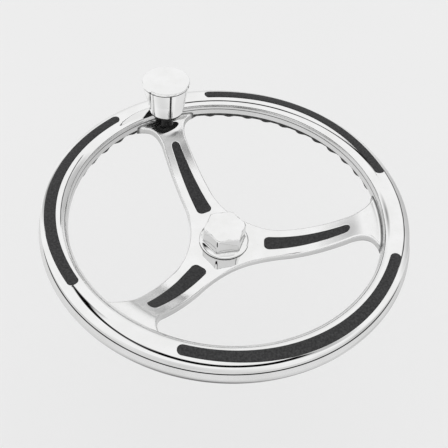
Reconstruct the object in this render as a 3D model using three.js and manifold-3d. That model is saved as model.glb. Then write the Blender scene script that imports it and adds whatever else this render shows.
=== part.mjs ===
// A boat's steering wheel: a hollow two-piece rim, a dished three-spoke spider, soft inserts,
// finger grips behind the rim, a keyed hub boss with its cap nut, and a spinner knob on one spoke.
// Millimetres. +Z runs along the helm shaft towards the helmsman. The origin is the centre of the
// hub boss's rear face. The spokes lie at 0, 120 and 240 degrees, and the knob is on the second.
import * as THREE from "three";
import { mergeVertices } from "three/addons/utils/BufferGeometryUtils.js";
import Module from "manifold-3d";

const wasm = await Module();
wasm.setup();

// ---- driving dimensions ----
const RIM_TOP = 101; // top of the rim inserts above the boss's rear face
const RING_STEPS = 60; // facets round the rim
const HUB_DROP = 69.5; // the hub plate's flat top lies this far below the rim inserts
const SPOKES = 3;
const FIT_GAP = 0.3; // clearance between pieces that touch

// Spoke plate: flat hub, parabolic rise, then a bend that levels out at the rim.
const FLAT_RADIUS = 40;
const RISE_RATE = 0.0041; // mm of rise per mm squared beyond the flat
const BEND_START = 137;
const BEND_END = 162;
const SPOKE_END = 167.7;
const PLATE = 9; // plate thickness, square to its surface
const HUB_ARC_RADIUS = 113.5; // concave edge between two spokes
const HUB_ARC_CENTRE = 153; // its centre's distance from the axis
const SPOKE_HALF_OUTER = 15.9; // half width where the flare starts
const FLARE_START = 138;
const FLARE_RADIUS = 26;

// Rim cap: its crown is an arc that is flatter outside the apex than inside.
const CROWN_APEX = 182;
const CROWN_RISE = 0.4; // apex above the height that RIM_TOP gives
const CROWN_INNER_BEND = 16;
const CROWN_OUTER_BEND = 22;
const CAP_INNER_EDGE = 168.9;
const CAP_OUTER_EDGE = 192.3;
const RIM_SEAM = -12.5; // joint between the cap's skirt and the lower shell
const RIM_INNER_WALL = 168;

// Rim inserts: crescents set in the cap between each two spokes, widest in the middle.
const RIM_INSERT_INNER = 176.5;
const RIM_INSERT_INNER_SWELL = 1.7; // how far the inner edge moves outwards in the middle
const RIM_INSERT_OUTER = 186.7;
const RIM_INSERT_OUTER_SWELL = 2.9;
const RIM_INSERT_HALF_ANGLE = 41.5;
const INSERT_PROUD = 0.3;
const INSERT_DEPTH = 2.8;

// Finger grips, set in the lower inner side of the rim.
const GRIP_START_ANGLE = 13; // from the spoke's centre line
const GRIP_BUMPS = 12;
const GRIP_STEPS_PER_BUMP = 3;
const SCOOP_DEPTH = 5;

// Spoke inserts.
const SPOKE_INSERT_INNER = 46.7;
const SPOKE_INSERT_OUTER = 137.4;
const SPOKE_INSERT_HALF_INNER = 9;
const SPOKE_INSERT_HALF_OUTER = 5;

// Hub: 3/4 in shaft, 1:12 taper on diameter, 3/16 in key.
const BOSS_RADIUS = 22;
const SPIGOT_RADIUS = 19;
const SHAFT_RADIUS = 9.525;
const TAPER = 1 / 12;
const KEY_WIDTH = 4.76;
const KEY_DEPTH = 2.4;
const NUT_CORNER_RADIUS = 24.9;
const NUT_HEIGHT = 24;
const NUT_TURN = 13.4; // degrees from a spoke to a corner of the hexagon
const NUT_FLANGE_RADIUS = 28.5;
const NUT_BORE_RADIUS = 6.35; // 1/2 in shaft thread
const NUT_BORE_DEPTH = 19;

// Knob: its axis is parallel to the shaft, inboard of the rim on the second spoke.
const KNOB_RADIUS_FROM_AXIS = 160;
const KNOB_ANGLE = 120;
const KNOB_BOTTOM = 4;
const KNOB_TOP = 45.5;
const KNOB_RADIUS_BOTTOM = 20.5;
const KNOB_RADIUS_TOP = 27.8;
const BOLT_RADIUS = 5;
const BOLT_THREAD_RADIUS = 4;
const BOLT_HEAD_RADIUS = 8;
const BOLT_SHOULDER = 31; // height at which the journal gives way to the thread
const SPOT_FACE = -26.2; // where the head bears on the spoke's underside
const BUSH_RADIUS = 7;
const BUSH_FLANGE_RADIUS = 9.5;
const BUSH_FLANGE = 1.4;
const BUSH_LENGTH = 10;
const CAP_SEAT = KNOB_TOP - 3.5;

// ---- materials ----
function finish(color, roughness, metalness) {
  return new THREE.MeshStandardMaterial({ color, roughness, metalness });
}
const polishedSteel = () => finish(0xdcdddd, 0.05, 1);
const machinedSteel = () => finish(0xb4b6b8, 0.3, 1);
const softGrip = () => finish(0x303031, 0.7, 0);
const acetal = () => finish(0x0d0d0e, 0.35, 0);

// ---- helpers ----
const radians = THREE.MathUtils.degToRad;

function toSolid(geometry) {
  const bare = geometry.clone();
  bare.deleteAttribute("normal");
  bare.deleteAttribute("uv");
  const merged = mergeVertices(bare, 1e-4);
  return new wasm.Manifold(
    new wasm.Mesh({
      numProp: 3,
      vertProperties: merged.attributes.position.array,
      triVerts: new Uint32Array(merged.index.array),
    }),
  );
}

function toMesh(name, solid, material) {
  const made = solid.getMesh();
  const geometry = new THREE.BufferGeometry();
  geometry.setAttribute("position", new THREE.BufferAttribute(new Float32Array(made.vertProperties), 3));
  geometry.setIndex(new THREE.BufferAttribute(new Uint32Array(made.triVerts), 1));
  geometry.computeVertexNormals();
  const mesh = new THREE.Mesh(geometry, material);
  mesh.name = name;
  return mesh;
}

// A closed profile of [radius, height] pairs turned about +Z.
function turned(profile, steps) {
  const points = profile.map(([r, z]) => new THREE.Vector2(r, z));
  if (THREE.ShapeUtils.area(points) < 0) points.reverse();
  points.push(points[0].clone());
  return toSolid(new THREE.LatheGeometry(points, steps).rotateX(Math.PI / 2));
}

// A full disc or cone: the profile runs from the axis back to the axis.
function turnedSolid(profile, steps) {
  return turned([[0, profile[0][1]], ...profile, [0, profile[profile.length - 1][1]]], steps);
}

// An outline of [x, y] pairs extruded from one height to another.
function prism(outline, low, high) {
  const shape = new THREE.Shape(outline.map(([x, y]) => new THREE.Vector2(x, y)));
  const geometry = new THREE.ExtrudeGeometry(shape, { depth: high - low, bevelEnabled: false });
  return toSolid(geometry.translate(0, 0, low));
}

const cylinder = (radius, low, high, steps) =>
  turnedSolid(
    [
      [radius, low],
      [radius, high],
    ],
    steps,
  );

const polar = (radius, degrees) => [radius * Math.cos(radians(degrees)), radius * Math.sin(radians(degrees))];

// Points on an arc about [cx, cy], both ends included.
function arc(cx, cy, radius, from, to, steps) {
  return Array.from({ length: steps + 1 }, (_, i) => {
    const angle = radians(from + ((to - from) * i) / steps);
    return [cx + radius * Math.cos(angle), cy + radius * Math.sin(angle)];
  });
}

const turnAboutZ = (solid, degrees) => solid.rotate([0, 0, degrees]);
const spokeAngle = (index) => (360 / SPOKES) * index;
const knobCentre = polar(KNOB_RADIUS_FROM_AXIS, KNOB_ANGLE);
const atKnob = (solid) => solid.translate([...knobCentre, RIM_TOP]);

// ---- rim ----
// Heights in the rim's profiles are measured from the top of its inserts.
const raised = (profile) => profile.map(([r, z]) => [r, z + RIM_TOP]);

// Height of the cap's crown at a distance from the axis.
function crownHeight(r) {
  const out = r - CROWN_APEX;
  const bend = out < 0 ? CROWN_INNER_BEND : CROWN_OUTER_BEND;
  return CROWN_RISE - bend + Math.sqrt(bend ** 2 - out ** 2);
}

const crownArc = (from, to, steps, lift) =>
  Array.from({ length: steps + 1 }, (_, i) => {
    const r = from + ((to - from) * i) / steps;
    return [r, crownHeight(r) + lift];
  });

// A crescent with half-round ends, seen from above, centred on +X.
function crescent(spare, steps) {
  const end = (RIM_INSERT_OUTER - RIM_INSERT_INNER) / 2 + spare;
  const middle = (RIM_INSERT_OUTER + RIM_INSERT_INNER) / 2;
  const turn = RIM_INSERT_HALF_ANGLE - THREE.MathUtils.radToDeg((end - spare) / middle);
  const side = (edge, swell, from, to) =>
    Array.from({ length: steps + 1 }, (_, i) => {
      const angle = from + ((to - from) * i) / steps;
      return polar(edge + swell * Math.cos((radians(90) * angle) / turn) ** 2, angle);
    });
  const [ex, ey] = polar(middle, turn);
  return [
    ...side(RIM_INSERT_OUTER + spare, RIM_INSERT_OUTER_SWELL, -turn, turn),
    ...arc(ex, ey, end, turn, turn + 180, 6).slice(1, -1),
    ...side(RIM_INSERT_INNER - spare, RIM_INSERT_INNER_SWELL, turn, -turn),
    ...arc(ex, -ey, end, 180 - turn, 360 - turn, 6).slice(1, -1),
  ];
}

// With a spare it is the pocket that the insert lies in.
function rimInsert(index, spare) {
  const pocketDepth = INSERT_DEPTH + spare;
  const block = prism(crescent(spare, 18), RIM_TOP - 8, RIM_TOP + 2);
  const inner = RIM_INSERT_INNER - 2;
  const outer = RIM_INSERT_OUTER + RIM_INSERT_OUTER_SWELL + 2;
  const layer = turned(
    raised([
      ...crownArc(inner, outer, 8, spare > 0 ? 1 : INSERT_PROUD),
      [outer, crownHeight(outer) - pocketDepth],
      [inner, crownHeight(inner) - pocketDepth],
    ]),
    RING_STEPS,
  );
  return turnAboutZ(block, spokeAngle(index) + 180 / SPOKES).intersect(layer);
}

function rimCap() {
  const outside = [
    ...crownArc(CAP_INNER_EDGE, CAP_OUTER_EDGE, 12, 0),
    [193.1, -3.6],
    [193.2, RIM_SEAM],
  ];
  const inside = [
    [190.9, RIM_SEAM],
    [190.1, -8.2],
    [187, -6.4],
    [176.5, -6.2],
    [171, -7.8],
  ];
  let cap = turned(raised([...outside, ...inside]), RING_STEPS);
  for (let i = 0; i < SPOKES; i++) cap = cap.subtract(rimInsert(i, FIT_GAP));
  return cap;
}

function rimBase() {
  const outside = [
    [170.8, -8.15],
    [168.7, -6.8],
    [RIM_INNER_WALL, -8.5],
    [RIM_INNER_WALL, -19.5],
    [172.2, -28.3],
    [177, -32],
    [182.5, -33],
    [187.5, -32],
    [193, -28.5],
    [196.3, -23.5],
    [197.3, -18.5],
    [197, -15.9],
    [193.4, RIM_SEAM - FIT_GAP],
    [190.9, RIM_SEAM - FIT_GAP],
  ];
  const inside = [
    [190.9, -15.4],
    [194.6, -18.8],
    [191.4, -26.4],
    [184.5, -29.8],
    [178.2, -17.2],
    [171, -16.8],
    [172.4, -11],
    [172.8, -9.2],
  ];
  let base = turned(raised([...outside, ...inside]), RING_STEPS);
  for (let i = 0; i < SPOKES; i++) base = base.subtract(gripPocket(i));
  return base;
}

// A solid swept about +Z between two angles. Its profile, listed anticlockwise, may change on the way.
function sweptSector(profileAt, from, to, steps) {
  const sides = profileAt(0).length;
  const positions = [];
  for (let i = 0; i <= steps; i++) {
    for (const [r, z] of profileAt(i / steps)) {
      const [x, y] = polar(r, from + ((to - from) * i) / steps);
      positions.push(x, y, z);
    }
  }
  const triangles = [];
  for (let i = 0; i < steps; i++) {
    for (let j = 0; j < sides; j++) {
      const next = (j + 1) % sides;
      const a = i * sides + j;
      const b = i * sides + next;
      triangles.push(a, a + sides, b, b, a + sides, b + sides);
    }
  }
  const ends = THREE.ShapeUtils.triangulateShape(
    profileAt(0).map(([r, z]) => new THREE.Vector2(r, z)),
    [],
  );
  for (const [a, b, c] of ends) {
    triangles.push(a, b, c);
    triangles.push(steps * sides + a, steps * sides + c, steps * sides + b);
  }
  const geometry = new THREE.BufferGeometry();
  geometry.setAttribute("position", new THREE.Float32BufferAttribute(positions, 3));
  geometry.setIndex(triangles);
  return toSolid(geometry);
}

const gripEnd = 360 / SPOKES - GRIP_START_ANGLE;

function gripPocket(index) {
  const profile = raised([
    [160, -40],
    [179.6, -40],
    [181.4, -28.6],
    [175.6, -19.3],
    [160, -19.3],
  ]);
  const spare = 0.1; // degrees
  const from = spokeAngle(index) + GRIP_START_ANGLE - spare;
  const to = spokeAngle(index) + gripEnd + spare;
  return sweptSector(() => profile, from, to, 24);
}

// The grip's outer face is scooped between its bumps: the scoop is deepest at the middle.
function fingerGrip(index) {
  const profileAt = (share) => {
    const scoop = (SCOOP_DEPTH * (1 - Math.cos(share * GRIP_BUMPS * 2 * Math.PI))) / 2;
    return raised([
      [168, -19.7],
      [170 + scoop * 0.6, -24 + scoop * 0.3],
      [172.3 + scoop * 0.85, -28.3 + scoop * 0.5],
      [177 + scoop * 0.15, -31.8 + scoop * 0.5],
      [179, -32.4 + scoop * 0.1],
      [180.9, -28.7],
      [175.2, -19.7],
    ]);
  };
  const from = spokeAngle(index) + GRIP_START_ANGLE;
  return sweptSector(profileAt, from, spokeAngle(index) + gripEnd, GRIP_BUMPS * GRIP_STEPS_PER_BUMP);
}

// ---- spider: hub plate and three dished spokes ----
// Height and slope of the plate's top face at a distance from the axis, from the rim's top.
function plateTop(r) {
  const toBend = BEND_START - FLAT_RADIUS;
  const slopeAtBend = 2 * RISE_RATE * toBend;
  if (r <= FLAT_RADIUS) return { z: -HUB_DROP, slope: 0 };
  if (r <= BEND_START) {
    const x = r - FLAT_RADIUS;
    return { z: -HUB_DROP + RISE_RATE * x * x, slope: 2 * RISE_RATE * x };
  }
  const length = BEND_END - BEND_START;
  const x = Math.min(r, BEND_END) - BEND_START;
  const z = -HUB_DROP + RISE_RATE * toBend * toBend + slopeAtBend * (x - x ** 3 / (3 * length * length));
  return { z, slope: slopeAtBend * (1 - (x / length) ** 2) };
}

// A layer of the dish between two depths below its top face.
function dishLayer(inner, outer, shallow, deep, steps, tail = []) {
  const stations = [inner, FLAT_RADIUS, 62, 84, 106, 122, BEND_START, 146, 154, BEND_END, outer];
  const radii = stations.filter((r, i) => r >= inner && r <= outer && stations.indexOf(r) === i);
  const at = (depth) => (r) => {
    const { z, slope } = plateTop(r);
    const length = Math.hypot(1, slope);
    return [r + (depth * slope) / length, z - depth / length];
  };
  return turned(raised([...radii.map(at(shallow)), ...tail, ...radii.map(at(deep)).reverse()]), steps);
}

// Half of one spoke's edge, from midway between two spokes out to the rim, for the spoke on +X.
function spokeEdge() {
  const cx = HUB_ARC_CENTRE * Math.cos(Math.PI / SPOKES);
  const cy = HUB_ARC_CENTRE * Math.sin(Math.PI / SPOKES);
  const hub = arc(cx, cy, HUB_ARC_RADIUS, 240, 270, 6);
  const flare = arc(FLARE_START, SPOKE_HALF_OUTER + FLARE_RADIUS, FLARE_RADIUS, 270, 345, 7);
  return [...hub, ...flare, [176, flare[flare.length - 1][1] + 6]];
}

function spiderOutline() {
  const upper = spokeEdge();
  const lower = upper.map(([x, y]) => [x, -y]).slice(1);
  const spoke = [...lower, ...upper.slice().reverse()];
  const turn = ([x, y], degrees) => {
    const c = Math.cos(radians(degrees));
    const s = Math.sin(radians(degrees));
    return [x * c - y * s, x * s + y * c];
  };
  return [0, 1, 2].flatMap((i) => spoke.map((point) => turn(point, spokeAngle(i))));
}

// The spoke insert's outline: a long taper with round corners, for the spoke on +X.
function spokeInsertOutline(spare) {
  const corner = 5;
  const inner = SPOKE_INSERT_INNER - spare;
  const outer = SPOKE_INSERT_OUTER + spare;
  const halfInner = SPOKE_INSERT_HALF_INNER + spare;
  const halfOuter = SPOKE_INSERT_HALF_OUTER + spare;
  return [
    ...arc(inner + corner, halfInner - corner, corner, 90, 180, 4),
    ...arc(inner + corner, corner - halfInner, corner, 180, 270, 4),
    ...arc(outer - halfOuter, 0, halfOuter, -88, 88, 8),
  ];
}

function spokeInsert(index, spare) {
  const plan = prism(spokeInsertOutline(spare), 0, RIM_TOP);
  const top = spare > 0 ? -2 : 0;
  const layer = dishLayer(SPOKE_INSERT_INNER - 3, 141, top, INSERT_DEPTH + spare, RING_STEPS);
  return turnAboutZ(layer.intersect(plan), spokeAngle(index));
}

function spider() {
  const rimSide = [
    [SPOKE_END - 0.1, -19.5],
    [168.9, -22.5],
  ];
  const dish = dishLayer(SPIGOT_RADIUS + FIT_GAP, SPOKE_END, 0, PLATE, RING_STEPS, rimSide);
  let plate = dish.intersect(prism(spiderOutline(), 0, RIM_TOP));
  for (let i = 0; i < SPOKES; i++) plate = plate.subtract(spokeInsert(i, FIT_GAP));
  const boltHole = atKnob(cylinder(BOLT_RADIUS + FIT_GAP, -40, 0, 16));
  const spotFace = atKnob(cylinder(BOLT_HEAD_RADIUS + 1, -40, SPOT_FACE, 20));
  return plate.subtract(boltHole).subtract(spotFace);
}

// ---- hub ----
const hubTop = RIM_TOP - HUB_DROP;
const spigotTop = hubTop - 1;
const washerTop = hubTop + 1;
const nutBottom = washerTop + 0.2;

function hubBoss() {
  const outside = [
    [SHAFT_RADIUS, 0],
    [BOSS_RADIUS - 1, 0],
    [BOSS_RADIUS, 1],
    [BOSS_RADIUS, hubTop - PLATE - FIT_GAP],
    [SPIGOT_RADIUS, hubTop - PLATE - FIT_GAP],
    [SPIGOT_RADIUS, spigotTop],
    [SHAFT_RADIUS - (spigotTop * TAPER) / 2, spigotTop],
  ];
  const half = KEY_WIDTH / 2;
  const reach = SHAFT_RADIUS + KEY_DEPTH;
  const keyway = prism(
    [
      [0, -half],
      [reach, -half],
      [reach, half],
      [0, half],
    ],
    -1,
    RIM_TOP,
  );
  return turned(outside, 36).subtract(keyway);
}

const ring = (inner, outer, low, high, steps) =>
  turned(
    [
      [inner, low],
      [outer, low],
      [outer, high],
      [inner, high],
    ],
    steps,
  );

const hubWasher = () => ring(7, SPIGOT_RADIUS - 1, spigotTop + 0.1, washerTop, 32);
const capNutGasket = () => ring(SPIGOT_RADIUS + 2, NUT_FLANGE_RADIUS - 0.7, hubTop + 0.1, washerTop, 40);

function capNut() {
  const top = nutBottom + NUT_HEIGHT;
  const hexagon = arc(0, 0, NUT_CORNER_RADIUS, NUT_TURN, NUT_TURN + 300, 5);
  const body = prism(hexagon, nutBottom, top);
  const crown = turnedSolid(
    [
      [NUT_CORNER_RADIUS + 1, nutBottom],
      [NUT_CORNER_RADIUS + 1, top - 2.2],
      [NUT_CORNER_RADIUS - 0.6, top - 1],
      [NUT_CORNER_RADIUS - 3, top],
    ],
    36,
  );
  const flange = turnedSolid(
    [
      [NUT_FLANGE_RADIUS - 0.4, nutBottom],
      [NUT_FLANGE_RADIUS, nutBottom + 0.5],
      [NUT_FLANGE_RADIUS - 0.3, nutBottom + 1.1],
      [NUT_FLANGE_RADIUS - 3, nutBottom + 1.8],
      [20, nutBottom + 2.4],
    ],
    36,
  );
  const bore = cylinder(NUT_BORE_RADIUS, nutBottom - 1, nutBottom + NUT_BORE_DEPTH, 24);
  return body.intersect(crown).add(flange).subtract(bore);
}

// ---- knob ----
// Heights here are measured from the rim's top, along the knob's own axis.
const knobBolt = () =>
  atKnob(
    turnedSolid(
      [
        [BOLT_HEAD_RADIUS - 1.2, SPOT_FACE - 5],
        [BOLT_HEAD_RADIUS, SPOT_FACE - 3.8],
        [BOLT_HEAD_RADIUS, SPOT_FACE - 0.1],
        [BOLT_RADIUS, SPOT_FACE - 0.1],
        [BOLT_RADIUS, BOLT_SHOULDER],
        [BOLT_THREAD_RADIUS, BOLT_SHOULDER],
        [BOLT_THREAD_RADIUS, BOLT_SHOULDER + 9],
      ],
      24,
    ),
  );

// A black trumpet between the spoke and the knob; its foot follows the spoke's top face.
function knobBase() {
  const trumpet = turned(
    [
      [BOLT_RADIUS + FIT_GAP, -34],
      [7.6, -34],
      [7.6, -8],
      [8.8, -4.5],
      [11.2, -1.8],
      [17, 0.9],
      [19.3, 1.6],
      [19.3, KNOB_BOTTOM - 0.6],
      [BOLT_RADIUS + FIT_GAP, KNOB_BOTTOM - 0.6],
    ],
    28,
  );
  const underSpoke = dishLayer(120, SPOKE_END + 8, -FIT_GAP, 30, RING_STEPS);
  return atKnob(trumpet).subtract(underSpoke);
}

function flangedBush(low, high, flangeLow, flangeHigh) {
  const inner = BOLT_RADIUS + FIT_GAP;
  const sleeve = ring(inner, BUSH_RADIUS, low, high, 24);
  const flange = ring(inner, BUSH_FLANGE_RADIUS, flangeLow, flangeHigh, 24);
  return atKnob(sleeve.add(flange));
}

function knobBushLower() {
  const low = KNOB_BOTTOM - 0.4;
  return flangedBush(low, low + BUSH_LENGTH, low, low + BUSH_FLANGE);
}

function knobBushUpper() {
  const high = BOLT_SHOULDER - 0.2;
  return flangedBush(high - BUSH_LENGTH, high, high - BUSH_FLANGE, high);
}

function knobWasher() {
  const low = BOLT_SHOULDER + 0.1;
  return atKnob(ring(BOLT_THREAD_RADIUS + FIT_GAP, 9, low, low + 1.4, 24));
}

function knobLocknut() {
  const low = BOLT_SHOULDER + 1.7;
  const hexagon = prism(arc(0, 0, 7.5, 0, 300, 5), low, low + 6.5);
  return atKnob(hexagon.subtract(cylinder(BOLT_THREAD_RADIUS + FIT_GAP, low - 1, low + 8, 20)));
}

function knobBody() {
  const boreRadius = BUSH_RADIUS + FIT_GAP;
  const flangeSeat = KNOB_BOTTOM + BUSH_FLANGE;
  const upperSeat = BOLT_SHOULDER - 0.5 - BUSH_FLANGE;
  return atKnob(
    turned(
      [
        [10, KNOB_BOTTOM],
        [KNOB_RADIUS_BOTTOM - 1.2, KNOB_BOTTOM],
        [KNOB_RADIUS_BOTTOM, KNOB_BOTTOM + 1.2],
        [23.4, 22],
        [KNOB_RADIUS_TOP - 0.6, CAP_SEAT - 1],
        [KNOB_RADIUS_TOP - 0.6, CAP_SEAT],
        [KNOB_RADIUS_TOP - 3.6, CAP_SEAT],
        [20.6, 22],
        [17.6, KNOB_BOTTOM + 5],
        [11, KNOB_BOTTOM + 5],
        [11, upperSeat],
        [boreRadius, upperSeat],
        [boreRadius, flangeSeat],
        [10, flangeSeat],
      ],
      36,
    ),
  );
}

const knobCap = () =>
  atKnob(
    turnedSolid(
      [
        [18, CAP_SEAT - 1.6],
        [KNOB_RADIUS_TOP - 5, CAP_SEAT - 1.6],
        [KNOB_RADIUS_TOP - 4.4, CAP_SEAT + 0.1],
        [KNOB_RADIUS_TOP, CAP_SEAT + 0.1],
        [KNOB_RADIUS_TOP, KNOB_TOP - 0.8],
        [KNOB_RADIUS_TOP - 0.8, KNOB_TOP],
      ],
      36,
    ),
  );

// ---- assembly ----
const wheel = new THREE.Group();
wheel.add(toMesh("rim_cap", rimCap(), polishedSteel()));
wheel.add(toMesh("rim_base", rimBase(), polishedSteel()));
wheel.add(toMesh("spider", spider(), polishedSteel()));
for (let i = 0; i < SPOKES; i++) {
  wheel.add(toMesh("rim_insert_" + (i + 1), rimInsert(i, 0), softGrip()));
  wheel.add(toMesh("finger_grip_" + (i + 1), fingerGrip(i), softGrip()));
  wheel.add(toMesh("spoke_insert_" + (i + 1), spokeInsert(i, 0), softGrip()));
}
wheel.add(toMesh("hub_boss", hubBoss(), machinedSteel()));
wheel.add(toMesh("hub_washer", hubWasher(), machinedSteel()));
wheel.add(toMesh("cap_nut_gasket", capNutGasket(), acetal()));
wheel.add(toMesh("cap_nut", capNut(), polishedSteel()));
wheel.add(toMesh("knob_base", knobBase(), acetal()));
wheel.add(toMesh("knob_bolt", knobBolt(), machinedSteel()));

const knob = new THREE.Group();
knob.add(toMesh("knob_bush_lower", knobBushLower(), acetal()));
knob.add(toMesh("knob_bush_upper", knobBushUpper(), acetal()));
knob.add(toMesh("knob_washer", knobWasher(), machinedSteel()));
knob.add(toMesh("knob_locknut", knobLocknut(), machinedSteel()));
knob.add(toMesh("knob_body", knobBody(), polishedSteel()));
knob.add(toMesh("knob_cap", knobCap(), polishedSteel()));

const steeringWheel = new THREE.Group();
steeringWheel.add(wheel, knob);
export default steeringWheel;
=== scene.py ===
"""A boat's steering wheel: mirror-polished stainless rim, spokes and hub, soft black inserts and a knob.

The scene is in metres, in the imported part's frame: +Z along the helm shaft towards the helmsman, one
spoke along +X, and the knob on the spoke at 120 degrees. Profiles below are written in millimetres, and
their heights are measured from the nominal face of the rim, RIM_TOP, unless a comment says otherwise.
"""

import math

import bpy
import numpy as np
from mathutils import Matrix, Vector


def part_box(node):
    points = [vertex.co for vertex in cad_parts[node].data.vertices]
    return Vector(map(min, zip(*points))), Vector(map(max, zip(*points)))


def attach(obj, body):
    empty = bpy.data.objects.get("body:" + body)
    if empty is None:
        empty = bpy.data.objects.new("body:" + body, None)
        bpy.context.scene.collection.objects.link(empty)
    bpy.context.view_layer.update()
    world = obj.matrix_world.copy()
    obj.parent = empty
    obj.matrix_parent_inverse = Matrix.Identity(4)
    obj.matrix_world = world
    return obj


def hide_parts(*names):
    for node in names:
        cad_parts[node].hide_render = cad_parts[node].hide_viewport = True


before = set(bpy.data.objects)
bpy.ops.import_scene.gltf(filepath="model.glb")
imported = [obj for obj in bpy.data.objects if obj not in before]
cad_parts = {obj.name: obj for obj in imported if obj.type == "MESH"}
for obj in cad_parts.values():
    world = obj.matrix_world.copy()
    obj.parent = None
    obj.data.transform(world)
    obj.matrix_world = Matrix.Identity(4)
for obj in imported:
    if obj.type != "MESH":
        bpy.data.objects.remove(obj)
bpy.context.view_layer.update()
MM = 0.001
scene = bpy.context.scene


# ---- camera ----
CAMERA_LENS, CAMERA_SENSOR = 45.435, 36
CAMERA_PLACE = (-0.01153, -0.40982, 0.54063)
CAMERA_TURN, CAMERA_TILT, CAMERA_ROLL = -1.3963, 40.479, 5.1377  # degrees


def make_camera():
    data = bpy.data.cameras.new("camera")
    data.lens = CAMERA_LENS
    data.sensor_width = CAMERA_SENSOR
    camera = bpy.data.objects.new("camera", data)
    scene.collection.objects.link(camera)
    turn = Matrix.Rotation(math.radians(CAMERA_TURN), 4, "Z")
    tilt = Matrix.Rotation(math.radians(CAMERA_TILT), 4, "X")
    roll = Matrix.Rotation(math.radians(CAMERA_ROLL), 4, "Z")
    camera.matrix_world = Matrix.Translation(CAMERA_PLACE) @ turn @ tilt @ roll
    scene.camera = camera


make_camera()

# ---- sizes, in millimetres, from the frame ----
SPOKES = 3


def box_mm(node):
    low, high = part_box(node)
    return np.array(low) / MM, np.array(high) / MM


KNOB_HEIGHT = 45.5
RIM_TOP = box_mm("knob_cap")[1][2] - KNOB_HEIGHT
HUB_TOP = RIM_TOP - 69.5
PLATE = 9.0  # thickness of the spider
KNOB_X, KNOB_Y = (sum(pair) / 2 for pair in zip(*(corner[:2] for corner in box_mm("knob_cap"))))


# ---- mesh helpers ----
def polar(radius, angle):
    return radius * np.cos(angle), radius * np.sin(angle)


def spun(points, index):
    """Points (x, y, z) of the spoke on +X, turned to another spoke."""
    c, s = math.cos(math.radians(120 * index)), math.sin(math.radians(120 * index))
    x, y = points[:, 0], points[:, 1]
    return np.stack([x * c - y * s, x * s + y * c, points[:, 2]], 1)


def rounded(corners, closed=True):
    """Points along a polyline whose corners (x, y, radius) are replaced by arcs."""
    points = []
    count = len(corners)
    for i, corner in enumerate(corners):
        here = np.array(corner[:2], float)
        radius = corner[2] if len(corner) > 2 else 0
        inner = closed or 0 < i < count - 1
        if not radius or not inner:
            points.append(here)
            continue
        before = np.array(corners[i - 1][:2], float) - here
        after = np.array(corners[(i + 1) % count][:2], float) - here
        before_length, after_length = np.linalg.norm(before), np.linalg.norm(after)
        before, after = before / before_length, after / after_length
        half = math.acos(np.clip(before @ after, -1, 1)) / 2
        reach = min(radius / math.tan(half), 0.499 * before_length, 0.499 * after_length)
        radius = reach * math.tan(half)
        middle = (before + after) / np.linalg.norm(before + after)
        centre = here + middle * radius / math.sin(half)
        start, end = here + before * reach - centre, here + after * reach - centre
        sweep = math.pi - 2 * half
        steps = max(3, int(math.degrees(sweep) / 7))
        for t in np.linspace(0, 1, steps + 1):
            a, b = math.sin((1 - t) * sweep), math.sin(t * sweep)
            points.append(centre + (start * a + end * b) / math.sin(sweep))
    return np.array(points)


def fixed_rounded(corners):
    """Like rounded(), with as many points at every corner, for sections that change along a sweep."""
    points = np.array([c[:2] for c in corners], float)
    out = []
    for i, corner in enumerate(corners):
        here = points[i]
        before, after = points[i - 1] - here, points[(i + 1) % len(points)] - here
        reach = min(corner[2], 0.45 * np.linalg.norm(before), 0.45 * np.linalg.norm(after))
        a = here + before / np.linalg.norm(before) * reach
        b = here + after / np.linalg.norm(after) * reach
        t = np.linspace(0, 1, 5)[:, None]
        out.append((1 - t) ** 2 * a + 2 * t * (1 - t) * here + t * t * b)
    return np.concatenate(out)


def eased(start, end, steps):
    """Numbers from start to end, closest together at the start."""
    return start + (end - start) * (1 - np.cos(np.linspace(0, math.pi / 2, steps)))


def arc_points(cx, cy, radius, start, end, steps):
    angles = np.radians(np.linspace(start, end, steps + 1))
    return np.stack([cx + radius * np.cos(angles), cy + radius * np.sin(angles)], 1)


def densify(points, step):
    """The same closed outline with its long stretches divided."""
    out = []
    for a, b in zip(points, np.roll(points, -1, 0)):
        pieces = max(1, int(np.ceil(np.linalg.norm(b - a) / step)))
        out.extend(a + (b - a) * k / pieces for k in range(pieces))
    return np.array(out)


def make_object(name, vertices, faces, material, smooth=32):
    """vertices in millimetres; coincident ones are merged and faces that collapse are dropped."""
    mesh = bpy.data.meshes.new(name)
    vertices = np.asarray(vertices, float)
    keys = np.round(vertices * 2000).astype(np.int64)  # half a micrometre
    _, first, merged = np.unique(keys, axis=0, return_index=True, return_inverse=True)
    merged = merged.reshape(-1)
    kept = []
    for face in faces:
        ring = [int(merged[v]) for v in face]
        ring = [v for k, v in enumerate(ring) if v != ring[k - 1]]
        if len(set(ring)) >= 3 and len(set(ring)) == len(ring):
            kept.append(ring)
    mesh.from_pydata((vertices[first] * MM).tolist(), [], kept)
    mesh.validate()
    mesh.materials.append(material)
    piece = bpy.data.objects.new(name, mesh)
    scene.collection.objects.link(piece)
    mesh.shade_smooth()
    with bpy.context.temp_override(object=piece, active_object=piece, selected_editable_objects=[piece]):
        bpy.ops.object.shade_smooth_by_angle(angle=math.radians(smooth))
    return piece


def finish_piece(piece, body, slot, *nodes):
    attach(piece, body)
    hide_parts(*nodes)
    return piece


def grid_faces(rows, columns, wrap_rows, wrap_columns):
    faces = []
    for i in range(rows if wrap_rows else rows - 1):
        for j in range(columns if wrap_columns else columns - 1):
            i2, j2 = (i + 1) % rows, (j + 1) % columns
            faces.append((i * columns + j, i2 * columns + j, i2 * columns + j2, i * columns + j2))
    return faces


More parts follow.
